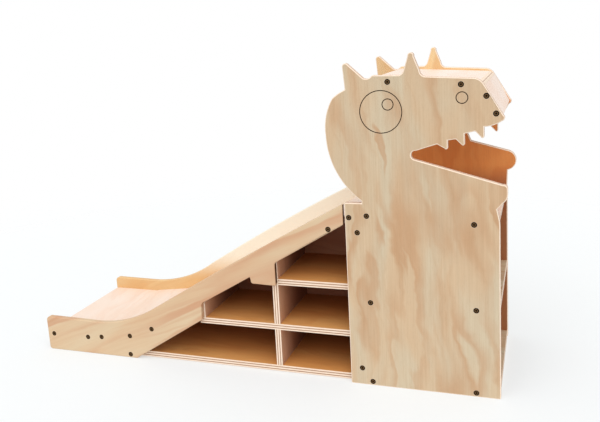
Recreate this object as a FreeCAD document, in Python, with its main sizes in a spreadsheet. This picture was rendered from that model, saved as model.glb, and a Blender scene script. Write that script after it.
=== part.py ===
import math
import os

import FreeCAD
import Part
import Sketcher
from FreeCAD import Placement, Rotation, Vector

doc = FreeCAD.newDocument("ToddlerSlide")
sheet = doc.addObject("Spreadsheet::Sheet", "Dimensions")

# Lengths in millimetres, angles in degrees. Profile points are measured from the tower's back foot.
dimensions = {
    "overallWidth": 420,
    "panelThickness": 18,
    "boardThickness": 18,
    "backPanelThickness": 9,
    "towerBack": 299,
    "towerDepth": 405,
    "floorClearance": 2,
    "shelfDepth": 250,
    "slideAngle": 30.4,
    "slideLength": 806,
    "runOutLength": 175.5,
    "transitionAngle": 7.1,
    "transitionLength": 167.8,
    "deckAngle": -2.65,
    "deckLength": 371,
    "stepLength": 361,
    "crownAngle": -3.4,
    "crownLength": 277.4,
    "noseAngle": -62.4,
    "noseLength": 100.8,
    "cornerBlunt": 10,
    "partitionHeight": 472,
    "engravingWidth": 2.4,
    "engravingDepth": 1,
    "boltHeadDiameter": 15,
    "boltHeadHeight": 2.5,
    "boltDiameter": 6,
    "boltLength": 57,
    "hexSocketWidth": 4,
    "barrelNutDiameter": 10,
    "barrelNutLength": 13,
    "barrelNutInset": 36,
    "fitClearance": 0.1,
    "dowelDiameter": 8,
    "dowelLength": 30,
    "dowelSpacing": 150,
}
for row, (alias, value) in enumerate(dimensions.items(), start=1):
    sheet.set(f"A{row}", alias)
    sheet.set(f"B{row}", str(value))
    sheet.setAlias(f"B{row}", alias)
doc.recompute()


def size(alias):
    return float(sheet.get(alias))


towerBack = size("towerBack")
outerFace = size("overallWidth") / 2
innerFace = outerFace - size("panelThickness")
thickness = size("boardThickness")
innerWidth = "Dimensions.overallWidth - 2 * Dimensions.panelThickness"


class Profile:
    """Closed outline in the X-Z plane, drawn from lines and three-point arcs."""

    def __init__(self, x, z):
        self.first = Vector(x, z, 0)
        self.last = self.first
        self.pieces = []

    def line(self, x, z):
        end = Vector(x, z, 0)
        self.pieces.append(Part.LineSegment(self.last, end))
        self.last = end
        return self

    def arc(self, viaX, viaZ, x, z):
        end = Vector(x, z, 0)
        self.pieces.append(Part.Arc(self.last, Vector(viaX, viaZ, 0), end))
        self.last = end
        return self

    def close(self):
        return self.line(self.first.x, self.first.y)


def drawSketch(body, name, geometry, offset=0):
    """Sketch on the body's own X-Z plane, moved along the plane's normal by the offset."""
    plane = [item for item in body.Origin.OriginFeatures if item.Role == "XZ_Plane"][0]
    sketch = body.newObject("Sketcher::SketchObject", name)
    sketch.AttachmentSupport = (plane, "")
    sketch.MapMode = "FlatFace"
    sketch.AttachmentOffset = Placement(Vector(0, 0, offset), Rotation())
    sketch.addGeometry(geometry, False)
    return sketch


def joinEnds(sketch):
    count = sketch.GeometryCount
    for index in range(count):
        following = (index + 1) % count
        for near in (1, 2):
            for far in (1, 2):
                gap = sketch.getPoint(index, near) - sketch.getPoint(following, far)
                if gap.Length < 1e-6:
                    sketch.addConstraint(Sketcher.Constraint("Coincident", index, near, following, far))


def padProfile(name, profile, lengthExpression, side):
    """Pad a profile towards the front (side -1) or the rear (side +1)."""
    body = doc.addObject("PartDesign::Body", name)
    sketch = drawSketch(body, name + "_outline", profile.close().pieces)
    joinEnds(sketch)
    pad = body.newObject("PartDesign::Pad", name + "_pad")
    pad.Profile = sketch
    pad.setExpression("Length", lengthExpression)
    pad.Reversed = side > 0
    sketch.Visibility = False
    return body


def upperMouth(profile, lipDrop, toothShift, toothCount):
    """Nose tip, lips and teeth, from the nose back towards the mouth's corner."""
    profile.line(414, 753).arc(417.5, 745, 411, 738)
    if lipDrop == 0:
        profile.arc(391, 728, 368, 724)
    else:
        profile.line(368 + toothShift, 724 - lipDrop)
    # Each tooth: its upright side, its foot, the lip behind it, and the lip's end at the next tooth.
    teeth = ((368, 700, 346, 713, 320, 707), (320, 681, 298, 693, 278, 690), (278, 671, 251, 680, None, None))
    for sideX, tipZ, backX, backZ, nextX, nextZ in teeth[:toothCount]:
        drop = lipDrop * (sideX - 200) / 168
        shift = toothShift * (sideX - 200) / 168
        profile.line(sideX + shift, tipZ - drop)
        profile.arc(sideX - 3 + shift, tipZ - 4 - drop, sideX - 8 + shift, tipZ - 2 - drop)
        profile.line(backX + shift, backZ - drop)
        if nextX:
            nextDrop = lipDrop * (nextX - 200) / 168
            nextShift = toothShift * (nextX - 200) / 168
            profile.line(nextX + nextShift, nextZ - nextDrop)


def headOutline(narrowMouth):
    """Tower side with a generic animal's head: shoulder, neck, two horns, nose and open mouth."""
    profile = Profile(4, 0)
    profile.arc(1.2, 1.2, 0, 4)
    profile.line(0, 520)
    profile.line(48, 520)
    profile.line(48, 526)
    profile.arc(-18, 603, -44, 705)
    profile.arc(-39, 763, -22, 802)
    profile.arc(-6, 814, 14, 825)
    profile.line(9, 884)
    profile.arc(14, 892.5, 24, 890)
    profile.line(64, 853)
    profile.arc(74, 851.5, 88, 860)
    profile.line(158, 858)
    profile.arc(166, 863, 171, 873)
    profile.line(181, 905)
    profile.arc(187.5, 914.5, 196.5, 904.5)
    profile.line(210.5, 869)
    profile.arc(215, 858, 225, 853)
    profile.line(342, 846)
    profile.arc(357, 841.5, 368, 830)
    if narrowMouth:    # lower lips, two teeth, a nearer corner and a round-ended jaw
        upperMouth(profile, 42, 10, 2)
        profile.line(284, 660)
        profile.line(298, 626)
        profile.line(405, 597)
        profile.arc(431, 568, 406, 536)
    else:
        upperMouth(profile, 0, 0, 3)
        profile.line(197, 663)
        profile.arc(184, 654, 192, 640)
        profile.line(412, 577)
        profile.arc(420.5, 574.5, 424, 566)
        profile.line(424, 550)
        profile.arc(420.5, 539, 412, 530)
        profile.line(398, 514)
    profile.line(404, 486)
    profile.line(size("towerDepth"), 470)
    profile.line(size("towerDepth"), 4)
    profile.arc(size("towerDepth") - 1.2, 1.2, size("towerDepth") - 4, 0)
    return profile


def railOutline(flatLift, slopeLift):
    """Slide rail: flat run-out, one long curve up the slope, two tabs towards the shelves."""
    profile = Profile(-1012, 0)
    profile.arc(-1017, 2.5, -1020, 8)
    profile.line(-1022, 100 + flatLift)
    profile.arc(-1018, 107 + flatLift, -1006, 110.5 + flatLift)
    profile.line(-858, 108.5 + flatLift)
    profile.arc(-735, 119.5, -620, 168 + slopeLift * 0.7)
    profile.arc(-318, 343 + slopeLift, -6, 515 + slopeLift * 0.3)
    profile.line(-6, 458)
    profile.line(-207, 341)
    profile.arc(-211, 338, -213, 332)
    profile.line(-213, 276)
    profile.arc(-214.5, 271, -219, 270)
    profile.line(-282, 272)
    profile.arc(-288, 275, -289.5, 281)
    profile.line(-292, 291)
    profile.line(-446, 203)
    profile.arc(-453, 197, -455, 188)
    profile.line(-456, 153)
    profile.arc(-457, 147, -462, 143)
    profile.line(-684, 6)
    profile.arc(-689, 2, -696, 0)
    return profile


def shifted(start, angle, along, aside):
    """Point at a distance along a sloping line and aside towards its hidden side."""
    turn = math.radians(angle)
    x = start[0] + along * math.cos(turn) + aside * math.sin(turn)
    z = start[1] + along * math.sin(turn) - aside * math.cos(turn)
    return x, z


# Boards bolted between the sides: start of the centre line, angle, length, and bolt places along it.
# The outer faces of the crown and nose boards meet at one corner.
bedStart = (-670.8, 79.2)
crownStart = (88, 844.4)
outerCorner = shifted(crownStart, size("crownAngle"), size("crownLength"), -thickness / 2)
noseStart = shifted(outerCorner, size("noseAngle"), 0, thickness / 2)
boards = {
    "run_out_board": (-1018, 54, 0, "runOutLength", (20, 150)),
    "transition_board": (-840.8, 56, "transitionAngle", "transitionLength", (24, 129.8)),
    "main_slide_board": (*bedStart, "slideAngle", "slideLength", (45, 720.9, 790.4)),
    "deck_board": (30, 486.4, "deckAngle", "deckLength", (30, 311.3)),
    "middle_step": (42, 241.5, 0, "stepLength", (21, 302)),
    "tower_base_board": (42, 11, 0, "stepLength", (20, 300)),
    "crown_board": (*crownStart, "crownAngle", "crownLength", (40, 225.3)),
    "nose_board": (*noseStart, "noseAngle", "noseLength", (35.8, 85.4)),
    "partition_wall": (33, size("floorClearance"), 90, "partitionHeight", (46, 436)),
}
boltGroups = {
    "head": ("crown_board", "nose_board"),
    "tower": ("deck_board", "middle_step", "tower_base_board", "partition_wall"),
    "rail": ("run_out_board", "transition_board", "main_slide_board"),
}
shelfBaseBolt = (-715, size("floorClearance") + thickness / 2)


def angleOf(board):
    angle = boards[board][2]
    return size(angle) if isinstance(angle, str) else angle


def pointOn(board, along, aside=0):
    """Point at a distance along a board's centre line and aside towards its hidden face."""
    return shifted(boards[board][:2], angleOf(board), along, aside)


def cylinder(radius, length, base, direction):
    return Part.makeCylinder(radius, length, base, direction)


def boltPlaces(group):
    """Bolt axis points of one group as (x, z, direction of the barrel nut's open end)."""
    places = []
    for board in boltGroups[group]:
        turn = math.radians(angleOf(board))
        hidden = Vector(math.sin(turn), 0, -math.cos(turn))
        for along in boards[board][4]:
            x, z = pointOn(board, along)
            places.append((x, z, hidden))
    if group == "rail":
        places.append((*shelfBaseBolt, Vector(0, 0, 1)))
    return places


def boltSolid(x, z, side):
    """Flat-headed connector bolt with a hexagon socket, its head flush with the outer face."""
    outward = Vector(0, side, 0)
    headBase = Vector(towerBack + x, side * outerFace, z) - outward * size("boltHeadHeight")
    head = cylinder(size("boltHeadDiameter") / 2, size("boltHeadHeight"), headBase, outward)
    shank = cylinder(size("boltDiameter") / 2, size("boltLength"), headBase, -outward)
    socketRadius = size("hexSocketWidth") / math.sqrt(3)
    corners = []
    for step in range(7):
        corner = math.radians(60 * step)
        corners.append(headBase + Vector(socketRadius * math.cos(corner), 0, socketRadius * math.sin(corner)))
    socket = Part.Face(Part.makePolygon(corners)).extrude(outward * size("boltHeadHeight"))
    return head.fuse(shank).cut(socket).removeSplitter()


def nutCentre(x, z, side):
    return Vector(towerBack + x, side * (innerFace - size("barrelNutInset")), z)


def nutSolid(x, z, hidden, side):
    """Barrel nut lying across the board, with a cross hole for the bolt."""
    centre = nutCentre(x, z, side)
    half = size("barrelNutLength") / 2
    nut = cylinder(size("barrelNutDiameter") / 2, 2 * half, centre - hidden * half, hidden)
    radius = size("boltDiameter") / 2 + size("fitClearance")
    cross = cylinder(radius, 20, centre - Vector(0, 10, 0), Vector(0, 1, 0))
    return nut.cut(cross)


def boltCutters(x, z, hidden, side):
    """Recess for the head, hole for the shank and hole for the barrel nut."""
    clearance = size("fitClearance")
    outward = Vector(0, side, 0)
    face = Vector(towerBack + x, side * outerFace, z)
    headRadius = size("boltHeadDiameter") / 2 + clearance
    recess = cylinder(headRadius, size("boltHeadHeight"), face - outward * size("boltHeadHeight"), outward)
    shankRadius = size("boltDiameter") / 2 + clearance
    shank = cylinder(shankRadius, size("boltLength") + 5, face, -outward)
    nutRadius = size("barrelNutDiameter") / 2 + clearance
    deep = size("barrelNutLength") / 2 + clearance
    pocket = cylinder(nutRadius, deep + thickness / 2, nutCentre(x, z, side) - hidden * deep, hidden)
    return [recess, shank, pocket]


def dowelPlaces():
    """Dowel centres and directions, two for each joint of the shelving."""
    across = Vector(1, 0, 0)
    upright = Vector(0, 0, 1)
    firstY = -innerFace + (size("shelfDepth") - size("dowelSpacing")) / 2
    # The last value moves a pair along Y, clear of the pair that enters the board's other face.
    joints = (
        (24, 139, across, 0), (24, 276, across, 0), (24, 11, across, 0), (-212, 276, across, 0),
        (-221, 20, upright, 0), (-221, 130, upright, 0), (-221, 148, upright, 25), (-461, 148, upright, 25),
    )
    places = []
    for x, z, direction, shift in joints:
        for step in (0, 1):
            y = firstY + shift + step * size("dowelSpacing")
            places.append((Vector(towerBack + x, y, z), direction))
    return places


def addShape(name, shape):
    feature = doc.addObject("Part::Feature", name)
    feature.Shape = shape
    return feature


boltSets = {}
allCutters = []
for group in boltGroups:
    bolts = []
    nuts = []
    for x, z, hidden in boltPlaces(group):
        for side in (-1, 1):
            bolts.append(boltSolid(x, z, side))
            nuts.append(nutSolid(x, z, hidden, side))
            allCutters.extend(boltCutters(x, z, hidden, side))
    boltSets[group + "_bolts"] = bolts
    boltSets[group + "_barrel_nuts"] = nuts

dowels = []
dowelCutters = []
for centre, direction in dowelPlaces():
    for solids, radius, length in (
        (dowels, size("dowelDiameter") / 2, size("dowelLength")),
        (dowelCutters, size("dowelDiameter") / 2 + size("fitClearance"), size("dowelLength") + 1),
    ):
        solids.append(cylinder(radius, length, centre - direction * (length / 2), direction))

boltHoles = addShape("bolt_holes", Part.makeCompound(allCutters))
dowelHoles = addShape("dowel_holes", Part.makeCompound(dowelCutters))
parts = []


def cutHoles(label, blank, tools):
    """Take each set of shared hole shapes out of a blank."""
    base = blank
    for number, tool in enumerate(tools):
        cut = doc.addObject("Part::Cut", f"{label}_cut_{number}")
        cut.Base = base
        cut.Tool = tool
        base = cut
    base.Label = label
    parts.append(base)


def boxBlank(label, length, placement, width=innerWidth):
    box = doc.addObject("Part::Box", label + "_blank")
    box.setExpression("Length", length)
    box.setExpression("Width", width)
    box.setExpression("Height", "Dimensions.boardThickness")
    box.Placement = placement
    return box


# Side panels with engraved eye and nostril rings: (x, z, radius).
rings = ((108, 765, 55.5), (127, 784, 14.5), (315, 798, 14.4))
engravingHalf = size("engravingWidth") / 2


def engrave(body, side):
    """Shallow ring grooves in the panel's outer face."""
    circles = []
    for x, z, radius in rings:
        for reach in (radius - engravingHalf, radius + engravingHalf):
            circles.append(Part.Circle(Vector(x, z, 0), Vector(0, 0, 1), reach))
    sketch = drawSketch(body, body.Name + "_rings", circles, -side * size("panelThickness"))
    pocket = body.newObject("PartDesign::Pocket", body.Name + "_engraving")
    pocket.Profile = sketch
    pocket.setExpression("Length", "Dimensions.engravingDepth")
    pocket.Reversed = side > 0
    sketch.Visibility = False
    doc.recompute()
    grooves = sum(math.tau * radius for x, z, radius in rings)
    expected = grooves * size("engravingWidth") * size("engravingDepth")
    removed = pocket.BaseFeature.Shape.Volume - pocket.Shape.Volume
    assert abs(removed - expected) < 0.02 * expected, f"{body.Name}: the engraving removed {removed}"


# The rear panel's mouth is narrower than the front panel's.
for label, side, narrowMouth in (("front_side_panel", -1, False), ("rear_side_panel", 1, True)):
    panel = padProfile(label + "_body", headOutline(narrowMouth), "Dimensions.panelThickness", side)
    engrave(panel, side)
    panel.Placement = Placement(Vector(towerBack, side * innerFace, 0), Rotation())
    cutHoles(label, panel, (boltHoles,))

# The rear rail is a little lower on the run-out and higher on the slope.
for label, side, lifts in (("front_rail", -1, (0, 0)), ("rear_rail", 1, (-8, 13))):
    rail = padProfile(label + "_body", railOutline(*lifts), "Dimensions.panelThickness", side)
    rail.Placement = Placement(Vector(towerBack, side * innerFace, 0), Rotation())
    cutHoles(label, rail, (boltHoles,))


def mitredProfile(label, atEnd):
    """Side profile of a board mitred at its end or its start, with the mitre's outer corner blunt."""
    halfTurn = math.radians(size("crownAngle") - size("noseAngle")) / 2
    bluntDepth = size("cornerBlunt") * math.sin(halfTurn) * math.cos(halfTurn)
    # How far back from the full length, and how deep under the outer face.
    mitre = [(size("cornerBlunt"), 0)]
    mitre += [(depth * math.tan(halfTurn), depth) for depth in (bluntDepth, thickness)]
    length = size(boards[label][3])
    squareEnd = 0 if atEnd else length
    points = [(squareEnd, thickness), (squareEnd, 0)]
    points += [(length - back if atEnd else back, depth) for back, depth in mitre]
    corners = [pointOn(label, along, depth - thickness / 2) for along, depth in points]
    profile = Profile(*corners[0])
    for corner in corners[1:]:
        profile.line(*corner)
    return profile


for label, atEnd in (("crown_board", True), ("nose_board", False)):
    body = padProfile(label + "_body", mitredProfile(label, atEnd), innerWidth, -1)
    body.Placement = Placement(Vector(towerBack, innerFace, 0), Rotation())
    cutHoles(label, body, (boltHoles,))

for label in (*boltGroups["rail"], *boltGroups["tower"]):
    cornerX, cornerZ = pointOn(label, 0, thickness / 2)
    turned = Rotation(Vector(0, 1, 0), -angleOf(label))
    corner = Placement(Vector(towerBack + cornerX, -innerFace, cornerZ), turned)
    blank = boxBlank(label, "Dimensions." + boards[label][3], corner)
    cutHoles(label, blank, (boltHoles, dowelHoles) if label == "partition_wall" else (boltHoles,))

# Level shelves: left end, right end, underside, depth.
shelfDepth = "Dimensions.shelfDepth"
shelves = (
    ("shelf_base_board", -735, 24, size("floorClearance"), innerWidth, (boltHoles, dowelHoles)),
    ("middle_shelf", -470, 24, 130, shelfDepth, (dowelHoles,)),
    ("upper_shelf", -212, 24, 267, shelfDepth, (dowelHoles,)),
)
for label, left, right, underside, depth, tools in shelves:
    corner = Placement(Vector(towerBack + left, -innerFace, underside), Rotation())
    blank = boxBlank(label, str(right - left), corner, depth)
    cutHoles(label, blank, tools)


def bedUnderside(x):
    """Height of the main slide board's lower face, less a small gap."""
    startX, startZ = pointOn("main_slide_board", 0, thickness / 2)
    return startZ + (x - startX) * math.tan(math.radians(size("slideAngle"))) - 0.5


def uprightBoard(label, left, right, bottom, tops, yBack, depthExpression, tools):
    """Upright board whose profile is square at the bottom and cut to the bed at the top."""
    profile = Profile(left, bottom)
    profile.line(right, bottom)
    profile.line(right, tops[1])
    profile.line(left, tops[0])
    body = padProfile(label + "_body", profile, depthExpression, -1)
    body.Placement = Placement(Vector(towerBack, yBack, 0), Rotation())
    cutHoles(label, body, tools)


baseTop = size("floorClearance") + thickness
shelfBack = -innerFace + size("shelfDepth")
uprights = (
    ("lower_main_divider", -230, baseTop, (130, 130)),
    ("upper_main_divider", -230, 148, (bedUnderside(-230), bedUnderside(-212))),
    ("short_divider", -470, 148, (bedUnderside(-470), bedUnderside(-452))),
)
for label, left, bottom, tops in uprights:
    uprightBoard(label, left, left + thickness, bottom, tops, shelfBack, shelfDepth, (dowelHoles,))

panelLeft = -660
panelTops = (bedUnderside(panelLeft), bedUnderside(24))
panelBack = shelfBack + size("backPanelThickness")
uprightBoard("back_panel", panelLeft, 24, baseTop, panelTops, panelBack, "Dimensions.backPanelThickness", ())

for label, solids in boltSets.items():
    parts.append(addShape(label, Part.makeCompound(solids)))
parts.append(addShape("shelf_dowels", Part.makeCompound(dowels)))

doc.recompute()
for item in doc.Objects:
    if "Invalid" in item.State or "Error" in item.State:
        raise RuntimeError(f"{item.Label} failed to build: {item.State}")
os.makedirs("parts", exist_ok=True)
for part in parts:
    shape = part.Shape
    if shape.isNull() or not shape.isValid():
        raise RuntimeError(f"{part.Label} has no valid shape")
    shape.exportStep(f"parts/{part.Label}.step")
    print(part.Label, len(shape.Solids), round(shape.Volume / 1000, 1), "cm3")
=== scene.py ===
import math
import bmesh
import bpy
import numpy as np
from mathutils import Matrix, Vector


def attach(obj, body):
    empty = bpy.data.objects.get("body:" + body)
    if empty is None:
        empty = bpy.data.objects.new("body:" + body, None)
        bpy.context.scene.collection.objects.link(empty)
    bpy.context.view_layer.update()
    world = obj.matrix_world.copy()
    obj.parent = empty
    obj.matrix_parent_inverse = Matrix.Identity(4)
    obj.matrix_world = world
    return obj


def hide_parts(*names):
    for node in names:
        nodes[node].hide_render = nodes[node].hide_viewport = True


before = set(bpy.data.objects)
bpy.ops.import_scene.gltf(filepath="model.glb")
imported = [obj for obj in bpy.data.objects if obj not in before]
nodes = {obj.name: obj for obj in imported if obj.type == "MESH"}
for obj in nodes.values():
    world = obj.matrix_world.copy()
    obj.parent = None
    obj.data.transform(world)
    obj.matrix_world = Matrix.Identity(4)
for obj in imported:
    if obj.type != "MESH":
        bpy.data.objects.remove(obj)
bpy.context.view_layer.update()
print("frame loaded:", len(nodes), "nodes")


# Shader building. A Wire wraps a socket, so that shader maths reads as plain expressions.
class Wire:
    def __init__(self, maker, socket):
        self.maker = maker
        self.socket = socket

    def maths(self, operation, *values):
        inputs = dict(enumerate(values))
        return self.maker.node("ShaderNodeMath", inputs, operation=operation)

    def __add__(self, other):
        return self.maths("ADD", self, other)

    __radd__ = __add__

    def __sub__(self, other):
        return self.maths("SUBTRACT", self, other)

    def __rsub__(self, other):
        return self.maths("SUBTRACT", other, self)

    def __mul__(self, other):
        return self.maths("MULTIPLY", self, other)

    __rmul__ = __mul__

    def __truediv__(self, other):
        return self.maths("DIVIDE", self, other)

    def fraction(self):
        return self.maths("FRACT", self)

    def absolute(self):
        return self.maths("ABSOLUTE", self)

    def smoothStep(self, low, high):
        inputs = {"Value": self, "From Min": low, "From Max": high}
        return self.maker.node("ShaderNodeMapRange", inputs, interpolation_type="SMOOTHSTEP")


class MaterialMaker:
    def __init__(self, name):
        self.material = bpy.data.materials.new(name)
        self.material.use_nodes = True
        self.tree = self.material.node_tree
        self.tree.nodes.clear()

    def node(self, kind, inputs=None, output=0, **settings):
        made = self.tree.nodes.new(kind)
        for key, value in settings.items():
            setattr(made, key, value)
        for key, value in (inputs or {}).items():
            if isinstance(value, Wire):
                self.tree.links.new(value.socket, made.inputs[key])
            else:
                made.inputs[key].default_value = value
        return Wire(self, made.outputs[output]) if len(made.outputs) else None

    def attribute(self, name, output="Vector"):
        return self.node("ShaderNodeAttribute", output=output, attribute_name=name)

    def split(self, vector):
        made = self.node("ShaderNodeSeparateXYZ", {0: vector})
        return [Wire(self, socket) for socket in made.socket.node.outputs]

    def joined(self, x, y, z):
        return self.node("ShaderNodeCombineXYZ", {0: x, 1: y, 2: z})

    def noise(self, vector, detail=2.0, roughness=0.5, distortion=0.0):
        inputs = {"Vector": vector, "Scale": 1.0, "Detail": detail, "Roughness": roughness}
        inputs["Distortion"] = distortion
        return self.node("ShaderNodeTexNoise", inputs, "Fac")

    def mix(self, factor, first, second, blend="MIX"):
        inputs = {0: factor, 6: first, 7: second}
        return self.node("ShaderNodeMix", inputs, 2, data_type="RGBA", blend_type=blend)

    def finish(self, colour, roughness, height, bumpDistance, **constants):
        normal = self.node("ShaderNodeBump", {"Strength": 1.0, "Distance": bumpDistance, "Height": height})
        inputs = {"Base Color": colour, "Roughness": roughness, "Normal": normal}
        inputs.update(constants)
        surface = self.node("ShaderNodeBsdfPrincipled", inputs)
        self.node("ShaderNodeOutputMaterial", {"Surface": surface})
        return self.material


def linear(red, green, blue):
    # An 8-bit screen colour as a linear one.
    return tuple(((value / 255 + 0.055) / 1.055) ** 2.4 for value in (red, green, blue))


def opaque(colour):
    return (*colour, 1.0)


def veneer(name, look):
    # Wood face: broad flame-like bands, wandering streaks, fine fibre lines and short pores.
    maker = MaterialMaker(name)
    along, across, through = maker.split(maker.attribute("grainSpace"))
    meander = maker.noise(maker.joined(along * 6.5, across * 7, through * 4), 3.0, 0.55)
    sideways = across + meander * look["meander"] + along * look["slant"]
    stretch, pitch = look["stretch"], look["pitch"]
    streak = maker.noise(maker.joined(along * 1.6 + 4, sideways * pitch * 3.6, through * 9), 3.0, 0.6, 0.5)
    field = maker.noise(maker.joined(along * stretch, sideways * pitch, through * 5), 2.0, 0.45, 0.5)
    phase = (field * look["bands"] + streak * 0.45).fraction()
    band = phase.smoothStep(0.2, 0.84) * (1 - phase.smoothStep(0.82, 1.0))
    patch = maker.noise(maker.joined(along * 2.6 + 5, across * 6, through * 4), 2.0, 0.5, 0.5)
    flame = band * (patch.smoothStep(0.34, 0.60) * 0.6 + 0.4)
    broad = maker.noise(maker.joined(along * 2.2, across * 9 + 3, through * 4), 3.0, 0.55, 0.6)
    grain = maker.noise(maker.joined(along * 5, across * 210, through * 210), 2.0, 0.6)
    fibre = maker.noise(maker.joined(along * 9, across * 700, through * 700), 2.0, 0.6)
    pores = maker.noise(maker.joined(along * 55, across * 1500, through * 1500), 1.0, 0.5)
    poreMask = pores.smoothStep(0.63, 0.74)
    ground = maker.mix(broad.smoothStep(0.34, 0.66), opaque(look["ground"]), opaque(look["warm"]))
    figured = maker.mix(flame * look["figure"], ground, opaque(look["flame"]))
    streaked = maker.mix(streak.smoothStep(0.50, 0.78) * look["streaks"], figured, opaque(look["streak"]))
    fine = (grain.smoothStep(0.28, 0.72) * 0.6 + fibre.smoothStep(0.25, 0.75) * 0.5) * look["fibre"]
    colour = maker.mix(fine, streaked, opaque(look["fibreTone"]))
    colour = maker.mix(poreMask * look["pores"], colour, opaque(look["poreTone"]))
    if "paintedLightShade" in look:    # painted light and shade: tones, each growing along one axis between two places
        places = maker.split(maker.node("ShaderNodeTexCoord", output="Object"))
        for axis, none, full, tone, blend in look["paintedLightShade"]:
            colour = maker.mix(places[axis].smoothStep(none, full), colour, opaque(tone), blend)
    roughness = look["roughness"] + fibre * 0.14 + flame * 0.05
    height = fibre * 0.4 + grain * 0.2 - poreMask * 0.7 + flame * 0.2
    varnish = {"Coat Weight": look["coat"], "Coat Roughness": look["coatRoughness"]}
    return maker.finish(colour, roughness, height, look["relief"], **varnish)


def plyEdge(name, look):
    # Cut edge of plywood: pale long-grain plies, thinner end-grain plies and fine glue lines.
    maker = MaterialMaker(name)
    along, across, through = maker.split(maker.attribute("grainSpace"))
    wander = maker.noise(maker.joined(along * 9, across * 9, through * 40), 2.0) * 0.0006
    layer = (through + wander - 0.0003) / look["thickness"] * look["plies"] + look["plies"] / 2
    position = (layer * 0.5 + 0.5).fraction()
    endGrain = (position - 0.25).absolute()
    inEnd = 1 - endGrain.smoothStep(look["endWidth"] - 0.03, look["endWidth"] + 0.03)
    glueLine = 1 - (endGrain - look["endWidth"]).absolute().smoothStep(0.02, 0.06)
    fibre = maker.noise(maker.joined(along * 60, across * 60, through * 900), 2.0, 0.6)
    speckle = maker.noise(maker.joined(along * 700, across * 700, through * 420), 2.0, 0.6)
    longPly = maker.mix(fibre.smoothStep(0.3, 0.75), opaque(look["light"]), opaque(look["lightDeep"]))
    endPly = maker.mix(speckle.smoothStep(0.35, 0.7), opaque(look["dark"]), opaque(look["darkDeep"]))
    plies = maker.mix(inEnd, longPly, endPly)
    colour = maker.mix(glueLine * look["glue"], plies, opaque(look["glueTone"]))
    roughness = 0.55 + speckle * 0.2
    height = speckle * inEnd * 0.6 - glueLine * 0.8 + fibre * 0.2
    return maker.finish(colour, roughness, height, 0.00012)


def dullMottle(name, dark, light):
    # Laser-burnt grooves, and rail end grain made darker with painted shade: dark, uneven, dull.
    maker = MaterialMaker(name)
    place = maker.node("ShaderNodeTexCoord", output="Object")
    scaled = maker.node("ShaderNodeVectorMath", {0: place, "Scale": 420.0}, operation="SCALE")
    soot = maker.noise(scaled, 3.0, 0.6)
    colour = maker.mix(soot.smoothStep(0.3, 0.7), opaque(dark), opaque(light))
    return maker.finish(colour, 0.8 + soot * 0.15, soot, 0.0001, **{"Specular IOR Level": 0.1})


def speckledFinish(name, look):
    # Plated steel or bare dowel: a fine mottle, rubbed brighter in spots.
    maker = MaterialMaker(name)
    place = maker.node("ShaderNodeTexCoord", output="Object")
    scaled = maker.node("ShaderNodeVectorMath", {0: place, "Scale": 900.0}, operation="SCALE")
    grime = maker.noise(scaled, 3.0, 0.6)
    colour = maker.mix(grime.smoothStep(0.35, 0.75), opaque(look["tone"]), opaque(look["rubbed"]))
    if "dishHighlightTone" in look:    # a painted highlight: the head's shallow inner dish is made brighter
        reach = maker.attribute("reach", "Fac")
        dish = reach.smoothStep(0.34, 0.42) * (1 - reach.smoothStep(0.56, 0.68))
        colour = maker.mix(dish * 0.85, colour, opaque(look["dishHighlightTone"]))
    roughness = look["roughness"] + grime * 0.2
    constants = {"Metallic": look["metallic"], "Specular IOR Level": look["sheen"]}
    return maker.finish(colour, roughness, grime, 0.00003, **constants)


# Tones and figure of each finish. Rows of painted light and shade hold an axis, the places where a
# tone starts and is full, the tone and how it blends.
panelLook = {
    "ground": linear(202, 186, 158), "warm": linear(204, 176, 142), "flame": linear(184, 136, 94),
    "streak": linear(182, 142, 102), "fibreTone": linear(160, 128, 92), "poreTone": linear(140, 108, 76),
    "slant": 0.16, "meander": 0.09, "stretch": 2.2, "pitch": 9.0, "bands": 4.4, "figure": 0.66,
    "streaks": 0.3, "fibre": 0.24, "pores": 0.2, "roughness": 0.5, "coat": 0.04, "coatRoughness": 0.35,
    "relief": 0.0001,
}
# Inward faces of the side panels: a brighter, yellower copy of the panel wood, as painted light for the lit
# horns; painted shade below the crown board, and deeper painted shade lower down inside the tower.
innerLitShadedLook = dict(
    panelLook, ground=linear(228, 202, 156), warm=linear(228, 192, 138), flame=linear(216, 168, 112),
    streak=linear(204, 158, 106), fibreTone=linear(196, 150, 98),
    paintedLightShade=(
        (2, 0.835, 0.815, (0.90, 0.47, 0.21), "MULTIPLY"), (2, 0.56, 0.48, (0.50, 0.44, 0.52), "MULTIPLY"),
    ),
)
# Slide bed and head boards: painted light brightens the boards higher up, from about 0.62 m.
bedLook = dict(
    panelLook, ground=linear(236, 219, 205), warm=linear(234, 212, 194), flame=linear(232, 200, 178),
    streak=linear(228, 196, 174), fibreTone=linear(224, 196, 174), figure=0.4, streaks=0.5, fibre=0.14,
    pores=0.1, roughness=0.42, coat=0.08, paintedLightShade=((2, 0.62, 0.78, (1.10, 1.10, 1.12), "MULTIPLY"),),
)
# Shelves: painted shade darkens them towards the back of the bays.
shelfLook = dict(
    panelLook, ground=linear(220, 164, 98), warm=linear(216, 152, 84), flame=linear(196, 128, 66),
    streak=linear(190, 126, 66), fibreTone=linear(186, 126, 70), figure=0.4, streaks=0.3,
    paintedLightShade=((1, -0.20, 0.05, (0.52, 0.35, 0.26), "MULTIPLY"),),
)
# Back panel of the bays: a deep brown that stands in partly for the bays' shade, with painted shade growing
# towards the bottom.
bayLook = dict(
    shelfLook, ground=linear(168, 112, 80), warm=linear(160, 100, 66), flame=linear(142, 84, 54),
    streak=linear(146, 92, 60), fibreTone=linear(142, 92, 62),
    paintedLightShade=((2, 0.30, 0.12, (0.74, 0.64, 0.62), "MULTIPLY"),),
)
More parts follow.
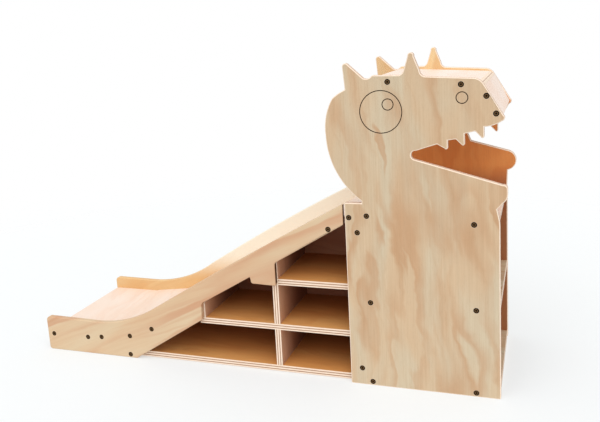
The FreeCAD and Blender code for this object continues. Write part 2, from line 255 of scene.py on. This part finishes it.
# Dividers: painted shade darkens them towards the back of the bays.
dividerLook = dict(
    bayLook, ground=linear(216, 172, 142), warm=linear(210, 160, 126), flame=linear(192, 142, 108),
    streak=linear(188, 140, 108), fibreTone=linear(184, 140, 110),
    paintedLightShade=((1, -0.21, -0.02, (0.36, 0.24, 0.20), "MULTIPLY"),),
)
pineLook = dict(
    panelLook, ground=linear(210, 187, 153), warm=linear(208, 175, 138), flame=linear(194, 140, 104),
    streak=linear(192, 142, 108), fibreTone=linear(192, 158, 122), slant=0.0, meander=0.02, stretch=1.1,
    pitch=11.0, bands=3.4, figure=0.85, streaks=0.45, pores=0.0, roughness=0.42, coat=0.1,
)
# Rear rail: painted light makes it paler up the slope.
rearPineLook = dict(
    pineLook, ground=linear(223, 188, 136), warm=linear(219, 175, 118), flame=linear(206, 152, 96),
    streak=linear(206, 154, 100), fibreTone=linear(206, 164, 112), figure=0.6,
    paintedLightShade=((2, 0.11, 0.23, linear(238, 228, 208), "MIX"),),
)
edgeLook = {
    "light": linear(238, 220, 200), "lightDeep": linear(230, 204, 180), "dark": linear(178, 132, 102),
    "darkDeep": linear(150, 104, 76), "glueTone": linear(110, 72, 50), "glue": 0.4,
    "plies": 5, "endWidth": 0.17, "thickness": 0.018,
}
# Bolt heads: the brighter ring tone on the dish is a painted highlight.
boltLook = {"tone": linear(26, 17, 9), "rubbed": linear(40, 28, 16), "dishHighlightTone": linear(112, 84, 52),
            "roughness": 0.42, "metallic": 0.2, "sheen": 0.08}
nutLook = {"tone": linear(150, 150, 148), "rubbed": linear(190, 190, 186), "roughness": 0.3,
           "metallic": 1.0, "sheen": 0.5}
dowelLook = {"tone": linear(196, 158, 112), "rubbed": linear(214, 180, 136), "roughness": 0.55,
             "metallic": 0.0, "sheen": 0.5}

panelFace = veneer("panelFace", panelLook)
innerLitShadedFace = veneer("innerPanelLitShadedFace", innerLitShadedLook)
bedFace = veneer("bedFace", bedLook)
shelfFace = veneer("shelfFace", shelfLook)
bayFace = veneer("bayFace", bayLook)
dividerFace = veneer("dividerFace", dividerLook)
pineWood = veneer("pineWood", pineLook)
rearPineWood = veneer("rearPineWood", rearPineLook)
plywoodEdge = plyEdge("plywoodEdge", edgeLook)
thinEdge = plyEdge("thinPlywoodEdge", dict(edgeLook, plies=3, thickness=0.009))
engravedLine = dullMottle("engravedLine", linear(30, 17, 8), linear(54, 33, 17))
# Dark end grain of the rails by the tower, made darker still as painted shade for the gap.
shadedEndGrain = dullMottle("endGrainPaintedShade", linear(66, 38, 22), linear(96, 60, 38))
boltMetal = speckledFinish("boltMetal", boltLook)
nutMetal = speckledFinish("nutMetal", nutLook)
dowelWood = speckledFinish("dowelWood", dowelLook)
print("materials made")


# Boards. Each is the CAD shape cleaned up, with its edges rounded and a grain direction of its own.
def sharpGroups(bm):
    # Sharp edges joined into connected groups: one per outline, hole or groove.
    sharp = [edge for edge in bm.edges if edge.is_manifold and edge.calc_face_angle() > math.radians(35)]
    waiting = set(sharp)
    groups = []
    while waiting:
        group = []
        frontier = [waiting.pop()]
        while frontier:
            edge = frontier.pop()
            group.append(edge)
            for vert in edge.verts:
                for linked in vert.link_edges:
                    if linked in waiting:
                        waiting.remove(linked)
                        frontier.append(linked)
        groups.append(group)
    return groups


def spanOf(group):
    places = np.array([vert.co[:] for edge in group for vert in edge.verts])
    return float(np.linalg.norm(places.max(0) - places.min(0)))


holeSpan = 0.030      # a bolt or nut hole's rim is smaller than this
ringSpan = 0.170      # an engraved ring is smaller than this
rimRadius = 0.0003    # rounding of the holes' rims
flatFacing = 0.98     # a face this square to the thickness is a board's face, not its edge
grooveFloor = (0.0007, 0.0013)    # depths between which an engraved ring's floor lies
grooveWall = (0.0002, 0.0009)     # and the middles of its walls


def finishedBoard(node, name, look):
    bm = bmesh.new()
    bm.from_mesh(nodes[node].data)
    bmesh.ops.remove_doubles(bm, verts=bm.verts, dist=1e-6)
    bmesh.ops.dissolve_limit(bm, angle_limit=0.003, verts=bm.verts, edges=bm.edges)
    outline = []
    rims = []
    for group in sharpGroups(bm):
        span = spanOf(group)
        if span < holeSpan:
            rims.extend(group)
        elif span > ringSpan or not look.get("engraved"):
            outline.extend(group)
    bevel = {"offset_type": "OFFSET", "profile": 0.5, "affect": "EDGES", "clamp_overlap": False}
    bmesh.ops.bevel(bm, geom=rims, offset=rimRadius, segments=1, **bevel)
    outline = [edge for edge in outline if edge.is_valid]
    bmesh.ops.bevel(bm, geom=outline, offset=look["edgeRadius"], segments=3, **bevel)
    mesh = bpy.data.meshes.new(name)
    bm.to_mesh(mesh)
    bm.free()
    board = bpy.data.objects.new(name, mesh)
    bpy.context.scene.collection.objects.link(board)
    through, middle = setGrain(mesh, look)
    paintBoard(mesh, look, through, middle)
    smoothBoard(board)
    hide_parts(node)
    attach(board, "root")
    return board


def setGrain(mesh, look):
    # Board coordinates in metres: along the grain, across it, and through the thickness. Returns the
    # direction of the thickness and where its middle is.
    turn = math.radians(look.get("tilt", 0))
    level = Vector((math.cos(turn), 0, math.sin(turn)))
    upright = Vector((-math.sin(turn), 0, math.cos(turn)))
    axes = {"level": level, "upright": upright, "y": Vector((0, 1, 0))}
    along, across, through = (axes[word] for word in look["axes"])
    if "grainAngle" in look:
        lean = math.radians(look["grainAngle"])
        along, across = (
            along * math.cos(lean) + across * math.sin(lean),
            across * math.cos(lean) - along * math.sin(lean),
        )
    places = np.zeros(len(mesh.vertices) * 3)
    mesh.vertices.foreach_get("co", places)
    places = places.reshape(-1, 3)
    table = np.array([along, across, through])
    local = places @ table.T
    middle = (local[:, 2].max() + local[:, 2].min()) / 2
    local[:, 2] -= middle
    local[:, 0] += look["sheet"] * 3.7    # each board comes from another place in the sheet
    local[:, 1] += look["sheet"] * 1.3
    grain = mesh.attributes.new("grainSpace", "FLOAT_VECTOR", "POINT")
    grain.data.foreach_set("vector", local.astype(np.float32).ravel())
    return through, float(middle)


def paintBoard(mesh, look, through, middle):
    # Material slots: 0 the face, 1 the edge, 2 a dark mark (an engraved line on panels, painted shade on
    # the rails' ends), 3 the face that looks inwards.
    face, edge, inner = look["materials"]
    for material in (face, edge, look.get("mark", engravedLine), inner):
        mesh.materials.append(material)
    for polygon in mesh.polygons:
        flat = abs(polygon.normal.dot(through)) > flatFacing
        polygon.material_index = 0 if flat else 1
        if "shadedEndFrom" in look and polygon.normal.x > flatFacing and polygon.center.x > look["shadedEndFrom"]:
            polygon.material_index = 2
        if look.get("engraved"):
            depth = look["thickness"] / 2 - abs(polygon.center.dot(through) - middle)
            if flat and polygon.normal.y * middle < 0:
                polygon.material_index = 3
            if flat and grooveFloor[0] < depth < grooveFloor[1] or onGrooveWall(polygon, depth):
                polygon.material_index = 2


def onGrooveWall(polygon, depth):
    # Walls of the engraved rings are small faces just under the panel's face.
    return grooveWall[0] < depth < grooveWall[1] and polygon.area < 0.00001 and abs(polygon.normal.y) < 0.3


def smoothBoard(board):
    mesh = board.data
    mesh.polygons.foreach_set("use_smooth", [True] * len(mesh.polygons))
    mesh.set_sharp_from_angle(angle=math.radians(34))
    weighted = board.modifiers.new("evenShading", "WEIGHTED_NORMAL")
    weighted.keep_sharp = True
    weighted.weight = 80


sideWood = (panelFace, plywoodEdge, innerLitShadedFace)
bedWood = (bedFace, plywoodEdge, bedFace)
sidePanel = {"slot": "panel_plywood", "axes": ("upright", "level", "y"), "materials": sideWood,
             "edgeRadius": 0.0024, "thickness": 0.018, "engraved": True}
# A rail's end faces towards the tower, past a given x, are end grain darkened with painted shade, for the
# shaded gap at the tower.
rail = {"slot": "rail_pine", "axes": ("level", "upright", "y"), "materials": (pineWood, pineWood, pineWood),
        "edgeRadius": 0.003, "grainAngle": 22, "mark": shadedEndGrain, "shadedEndFrom": -0.02}
rearRail = dict(rail, materials=(rearPineWood, rearPineWood, rearPineWood))
bedBoard = {"slot": "bed_plywood", "axes": ("y", "level", "upright"), "materials": bedWood,
            "edgeRadius": 0.0009}
shelf = {"slot": "shelf_plywood", "axes": ("level", "y", "upright"),
         "materials": (shelfFace, plywoodEdge, shelfFace), "edgeRadius": 0.0008}
step = dict(shelf, materials=(panelFace, plywoodEdge, panelFace))
divider = dict(shelf, axes=("upright", "y", "level"), materials=(dividerFace, plywoodEdge, dividerFace))
backSheet = {"slot": "back_plywood", "axes": ("level", "upright", "y"),
             "materials": (bayFace, thinEdge, bayFace), "edgeRadius": 0.0005}


def slopeOf(node):
    # A tilted board's angle, from the longest straight edge of its side face.
    mesh = nodes[node].data
    best = max(
        (mesh.vertices[edge.vertices[1]].co - mesh.vertices[edge.vertices[0]].co for edge in mesh.edges
         if abs(mesh.vertices[edge.vertices[1]].co.y - mesh.vertices[edge.vertices[0]].co.y) < 1e-5),
        key=lambda span: span.length,
    )
    angle = math.degrees(math.atan2(best.z, best.x))
    return (angle + 90) % 180 - 90


boards = {
    "front_side_panel": (sidePanel, 1), "rear_side_panel": (sidePanel, 2),
    "front_rail": (rail, 3), "rear_rail": (rearRail, 4),
    "run_out_board": (bedBoard, 5), "transition_board": (bedBoard, 6), "main_slide_board": (bedBoard, 7),
    "deck_board": (bedBoard, 8), "crown_board": (bedBoard, 9), "nose_board": (bedBoard, 10),
    "middle_step": (step, 11), "tower_base_board": (step, 12), "shelf_base_board": (shelf, 13),
    "middle_shelf": (shelf, 14), "upper_shelf": (shelf, 15),
    "partition_wall": (divider, 16), "lower_main_divider": (divider, 17),
    "upper_main_divider": (divider, 18), "short_divider": (divider, 19), "back_panel": (backSheet, 20),
}
tilted = ("transition_board", "main_slide_board", "deck_board", "crown_board", "nose_board")
for node, (kind, sheetPlace) in boards.items():
    look = dict(kind, sheet=sheetPlace)
    if node in tilted:
        look["tilt"] = slopeOf(node)
    words = node.split("_")
    finishedBoard(node, words[0] + "".join(word.title() for word in words[1:]), look)
print("boards finished:", len(boards))


# Connector bolts: one turned head and shank, placed by a Geometry Nodes tree.
boltSizes = {"headRadius": 0.0075, "headHeight": 0.0025, "shankRadius": 0.003, "length": 0.057,
             "socketRadius": 0.0023, "socketDepth": 0.0019, "rim": 0.0005, "dish": 0.0004,
             "dishFloor": 0.62, "dishEdge": 0.74, "sides": 48}


def boltMesh(name, sizes):
    # Rings of vertices from the socket's floor round the head and down the shank. Each row is a
    # radius, a height under the head's top, and whether the ring is a hexagon.
    sides = sizes["sides"]
    socket, floor, dish = sizes["socketRadius"], -sizes["socketDepth"], -sizes["dish"]
    head, rim, under = sizes["headRadius"], sizes["rim"], -sizes["headHeight"]
    shank, tip = sizes["shankRadius"], -sizes["length"]
    rings = [
        (socket * 0.02, floor - 0.0003, True),
        (socket, floor, True),
        (socket, dish - 0.0002, True),
        (socket * 1.12, dish, True),
        (head * sizes["dishFloor"], dish, False),
        (head * sizes["dishEdge"], -0.0001, False),
        (head - rim, -0.0001, False),
        (head - rim * 0.3, -rim * 0.3, False),
        (head, -rim, False),
        (head, under + rim * 0.4, False),
        (head - rim * 0.4, under, False),
        (shank, under, False),
        (shank, tip + 0.001, False),
        (shank - 0.001, tip, False),
        (0.00002, tip, False),
    ]
    bm = bmesh.new()
    loops = []
    for radius, height, hexagonal in rings:
        loop = []
        for step in range(sides):
            angle = math.tau * step / sides
            reach = radius
            if hexagonal:    # the distance to a hexagon's wall in this direction
                reach = radius * math.cos(math.pi / 6) / math.cos(angle % (math.pi / 3) - math.pi / 6)
            loop.append(bm.verts.new((reach * math.cos(angle), reach * math.sin(angle), height)))
        loops.append(loop)
    for upper, lower in zip(loops, loops[1:]):
        for step in range(sides):
            after = (step + 1) % sides
            bm.faces.new((upper[step], lower[step], lower[after], upper[after]))
    bm.faces.new(loops[0])
    bm.faces.new(reversed(loops[-1]))
    bmesh.ops.recalc_face_normals(bm, faces=bm.faces)
    mesh = bpy.data.meshes.new(name)
    bm.to_mesh(mesh)
    bm.free()
    reach = mesh.attributes.new("reach", "FLOAT", "POINT")    # distance from the axis, for the painted highlight on the dish
    reach.data.foreach_set("value", [math.hypot(*vert.co[:2]) / head for vert in mesh.vertices])
    mesh.polygons.foreach_set("use_smooth", [True] * len(mesh.polygons))
    mesh.set_sharp_from_angle(angle=math.radians(32))
    return mesh


def boltTree():
    tree = bpy.data.node_groups.new("placeBolts", "GeometryNodeTree")
    sockets = {}
    for word, kind in (("Points", "Geometry"), ("Bolt", "Object"), ("Finish", "Material"), ("Seed", "Int")):
        made = tree.interface.new_socket(word, in_out="INPUT", socket_type="NodeSocket" + kind)
        sockets[word] = made.identifier
    tree.interface.new_socket("Bolts", in_out="OUTPUT", socket_type="NodeSocketGeometry")

    def add(kind, **settings):
        made = tree.nodes.new(kind)
        for key, value in settings.items():
            setattr(made, key, value)
        return made

    def link(source, output, target, socket):
        tree.links.new(source.outputs[output], target.inputs[socket])

    start = add("NodeGroupInput")
    end = add("NodeGroupOutput")
    facing = add("GeometryNodeInputNamedAttribute", data_type="FLOAT_VECTOR")
    facing.inputs["Name"].default_value = "facing"
    align = add("FunctionNodeAlignRotationToVector", axis="Z")
    turn = add("FunctionNodeRandomValue", data_type="FLOAT")
    turn.inputs["Min"].default_value = 0.0
    turn.inputs[3].default_value = math.tau
    spin = add("ShaderNodeCombineXYZ")
    euler = add("FunctionNodeEulerToRotation")
    rotate = add("FunctionNodeRotateRotation", rotation_space="LOCAL")
    info = add("GeometryNodeObjectInfo")
    place = add("GeometryNodeInstanceOnPoints")
    realize = add("GeometryNodeRealizeInstances")
    finish = add("GeometryNodeSetMaterial")
    link(facing, "Attribute", align, "Vector")
    link(start, "Seed", turn, "Seed")
    link(turn, 1, spin, "Z")
    link(spin, 0, euler, 0)
    link(align, 0, rotate, 0)
    link(euler, 0, rotate, 1)
    link(start, "Bolt", info, "Object")
    link(start, "Points", place, "Points")
    link(info, "Geometry", place, "Instance")
    link(rotate, 0, place, "Rotation")
    link(place, 0, realize, 0)
    link(realize, 0, finish, "Geometry")
    link(start, "Finish", finish, "Material")
    link(finish, 0, end, 0)
    return tree, sockets


def solidsOf(node):
    # Lowest and highest corner of each separate solid in a node of fasteners.
    bm = bmesh.new()
    bm.from_mesh(nodes[node].data)
    bmesh.ops.remove_doubles(bm, verts=bm.verts, dist=1e-6)
    waiting = set(bm.verts)
    found = []
    while waiting:
        frontier = [waiting.pop()]
        places = []
        while frontier:
            vert = frontier.pop()
            places.append(vert.co[:])
            for edge in vert.link_edges:
                other = edge.other_vert(vert)
                if other in waiting:
                    waiting.remove(other)
                    frontier.append(other)
        places = np.array(places)
        found.append((places.min(0), places.max(0)))
    bm.free()
    return sorted(found, key=lambda pair: tuple(np.round(pair[0], 5)))


def placeBolts(node, name, seed):
    points = bpy.data.meshes.new(name)
    places = []
    facings = []
    for low, high in solidsOf(node):
        side = 1 if low[1] + high[1] > 0 else -1
        outer = high[1] if side > 0 else low[1]
        places.append(((low[0] + high[0]) / 2, outer, (low[2] + high[2]) / 2))
        facings.extend((0.0, float(side), 0.0))
    points.from_pydata(places, [], [])
    points.attributes.new("facing", "FLOAT_VECTOR", "POINT").data.foreach_set("vector", facings)
    carrier = bpy.data.objects.new(name + "Points", points)
    bpy.context.scene.collection.objects.link(carrier)
    modifier = carrier.modifiers.new("placeBolts", "NODES")
    modifier.node_group = boltGroup
    modifier[boltSockets["Bolt"]] = boltModel
    modifier[boltSockets["Finish"]] = boltMetal
    modifier[boltSockets["Seed"]] = seed
    bpy.context.view_layer.update()
    graph = bpy.context.evaluated_depsgraph_get()
    mesh = bpy.data.meshes.new_from_object(carrier.evaluated_get(graph))
    bpy.data.objects.remove(carrier)
    mesh.name = name
    bolts = bpy.data.objects.new(name, mesh)
    bpy.context.scene.collection.objects.link(bolts)
    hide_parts(node)
    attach(bolts, "root")
    return len(places)


boltGroup, boltSockets = boltTree()
boltModel = bpy.data.objects.new("boltModel", boltMesh("boltModel", boltSizes))
bpy.context.scene.collection.objects.link(boltModel)
boltCount = 0
for seed, group in enumerate(("head", "tower", "rail"), start=3):
    boltCount += placeBolts(group + "_bolts", group + "Bolts", seed)
bpy.data.objects.remove(boltModel)
print("bolts placed:", boltCount)

# The barrel nuts and dowels keep their CAD shapes.
for node in ("head_barrel_nuts", "tower_barrel_nuts", "rail_barrel_nuts", "shelf_dowels"):
    for slot in nodes[node].material_slots:
        slot.material = dowelWood if node == "shelf_dowels" else nutMetal
print("nuts and dowels finished")


# Camera, floor and soft studio light.
cameraView = {"place": (0.802, -1.9948, 0.9725), "turn": 19.182, "dip": 9.348, "roll": -2.976,
              "lens": 42.3, "shiftUp": -0.1}


def makeCamera(view):
    turn, dip, roll = (math.radians(view[word]) for word in ("turn", "dip", "roll"))
    forward = Vector((-math.sin(turn) * math.cos(dip), math.cos(turn) * math.cos(dip), -math.sin(dip)))
    level = Vector((math.cos(turn), math.sin(turn), 0))
    upright = level.cross(forward)
    right = level * math.cos(roll) + upright * math.sin(roll)
    up = upright * math.cos(roll) - level * math.sin(roll)
    data = bpy.data.cameras.new("camera")
    data.lens = view["lens"]
    data.sensor_fit = "HORIZONTAL"
    data.sensor_width = 36
    data.shift_y = view["shiftUp"]
    data.clip_end = 100
    camera = bpy.data.objects.new("camera", data)
    turned = Matrix((right, up, -forward)).transposed().to_4x4()
    camera.matrix_world = Matrix.Translation(view["place"]) @ turned
    bpy.context.scene.collection.objects.link(camera)
    bpy.context.scene.camera = camera


floorLook = {"reach": 6.0, "fade": (1.0, 3.2), "tone": (0.385, 0.395, 0.40),
             "toneLight": (0.395, 0.405, 0.41), "glowTone": (0.98, 1.0, 1.0), "glow": 0.49, "sheen": 0.2}


def makeFloor(look):
    # A pale sheet with a little light of its own, which keeps shadows faint, fading out all round.
    maker = MaterialMaker("studioFloor")
    place = maker.node("ShaderNodeTexCoord", output="Object")
    scaled = maker.node("ShaderNodeVectorMath", {0: place, "Scale": 30.0}, operation="SCALE")
    mottle = maker.noise(scaled, 3.0)
    colour = maker.mix(mottle, opaque(look["tone"]), opaque(look["toneLight"]))
    distance = maker.node("ShaderNodeVectorMath", {0: place}, "Value", operation="LENGTH")
    constants = {"Alpha": 1 - distance.smoothStep(*look["fade"]), "Specular IOR Level": look["sheen"],
                 "Emission Color": opaque(look["glowTone"]), "Emission Strength": look["glow"]}
    material = maker.finish(colour, 0.7 + mottle * 0.1, mottle, 0.0001, **constants)
    mesh = bpy.data.meshes.new("floor")
    reach = look["reach"]
    corners = [(-reach, -reach, 0), (reach, -reach, 0), (reach, reach, 0), (-reach, reach, 0)]
    mesh.from_pydata(corners, [], [(0, 1, 2, 3)])
    mesh.materials.append(material)
    floor = bpy.data.objects.new("floor", mesh)
    bpy.context.scene.collection.objects.link(floor)


studio = {"keyPlace": (0.6, -2.6, 3.6), "keyStrength": 2.0, "keySpread": 75, "ambient": 0.74,
          "background": 1.0}


def makeLights():
    # One very soft key from the front, aimed at the middle of the floor.
    key = bpy.data.lights.new("softKey", "SUN")
    key.energy = studio["keyStrength"]
    key.angle = math.radians(studio["keySpread"])
    lamp = bpy.data.objects.new("softKey", key)
    turned = (-Vector(studio["keyPlace"])).to_track_quat("-Z", "Y").to_matrix().to_4x4()
    lamp.matrix_world = Matrix.Translation(studio["keyPlace"]) @ turned
    bpy.context.scene.collection.objects.link(lamp)
    world = bpy.data.worlds.new("studio")
    world.use_nodes = True
    tree = world.node_tree
    # The background is seen as plain white, and lights the scene more gently than it looks.
    path = tree.nodes.new("ShaderNodeLightPath")
    strength = tree.nodes.new("ShaderNodeMapRange")
    strength.inputs["To Min"].default_value = studio["ambient"]
    strength.inputs["To Max"].default_value = studio["background"]
    tree.links.new(path.outputs["Is Camera Ray"], strength.inputs["Value"])
    background = tree.nodes["Background"]
    background.inputs["Color"].default_value = (1, 1, 1, 1)
    tree.links.new(strength.outputs[0], background.inputs["Strength"])
    bpy.context.scene.world = world


makeCamera(cameraView)
makeFloor(floorLook)
makeLights()
bpy.context.scene.view_settings.view_transform = "Standard"
print("camera, floor and lights made")
